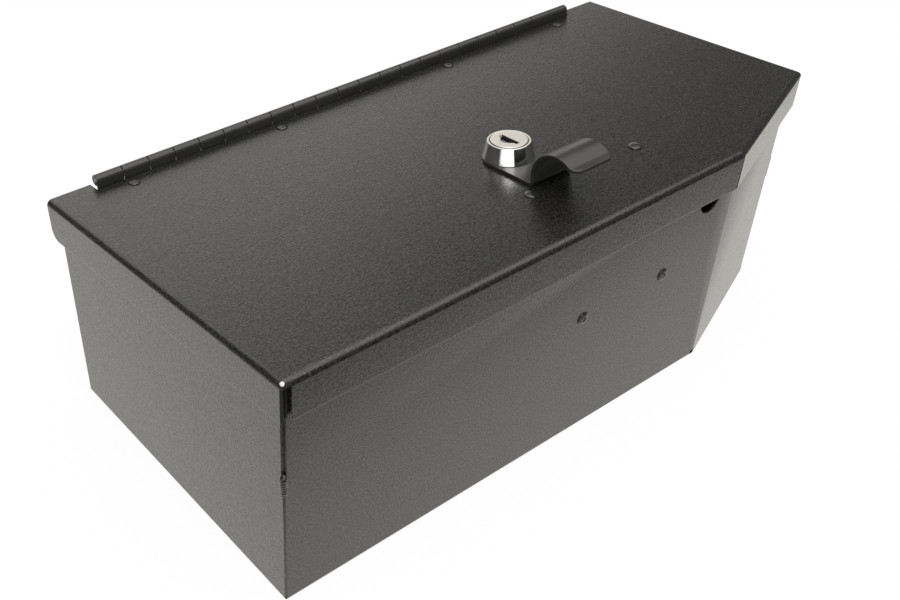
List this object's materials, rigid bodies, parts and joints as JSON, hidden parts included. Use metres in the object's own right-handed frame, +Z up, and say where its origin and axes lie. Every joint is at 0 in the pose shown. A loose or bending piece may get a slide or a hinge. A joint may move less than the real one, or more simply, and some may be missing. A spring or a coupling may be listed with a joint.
{
  "type": "under-seat safe",
  "caption": "Shallow steel box with a sloping hinged lid, one cut corner, a finger pull and a round key lock, made to fit under a seat.",
  "frame": {"origin": "middle of the bounding box, on the floor that the safe stands on", "axes": "+X along the lid from the square front corner to the cut one, +Y from the pull to the hinge, +Z up"},
  "size_m": [0.3256, 0.1634, 0.1284],
  "materials": {
    "coat": "fine-textured black powder coat",
    "coat_gloss": "smooth semi-gloss black paint",
    "chrome": "polished",
    "zinc": "bright zinc plate",
    "brass": "satin"
  },
  "bodies": {
    "body": {"body_shell": "coat", "corner_welds": "coat", "catch_bracket": "zinc", "catch_rivets": "coat", "hinge_body_leaf": "coat_gloss", "hinge_body_rivets": "coat", "hinge_pin": "zinc"},
    "lid": {"lid_panel": "coat", "hinge_lid_leaf": "coat_gloss", "hinge_lid_rivets": "coat", "lock_reinforcement": "zinc", "reinforcement_rivets": "coat", "finger_pull": "coat_gloss", "lock_housing": "chrome", "lock_washer": "zinc", "lock_nut": "brass"},
    "lock": {"lock_plug": "chrome", "wafer_tumblers": "brass", "wafer_springs": "zinc", "cam_stop_washer": "zinc", "lock_cam": "zinc", "cam_spring_washer": "zinc", "cam_screw": "zinc"}
  },
  "joints": [
    {"name": "lid_hinge", "type": "hinge", "parent": "body", "child": "lid", "pos_m": [-0.00195, 0.0789, 0.10003], "axis": [-1, 0, 0], "range_deg": [0, 180]},
    {"name": "lock_turn", "type": "hinge", "parent": "lid", "child": "lock", "pos_m": [0.00045, -0.01893, 0.10677], "axis": [0, -0.0941, -0.9956], "range_deg": [0, 90]}
  ]
}
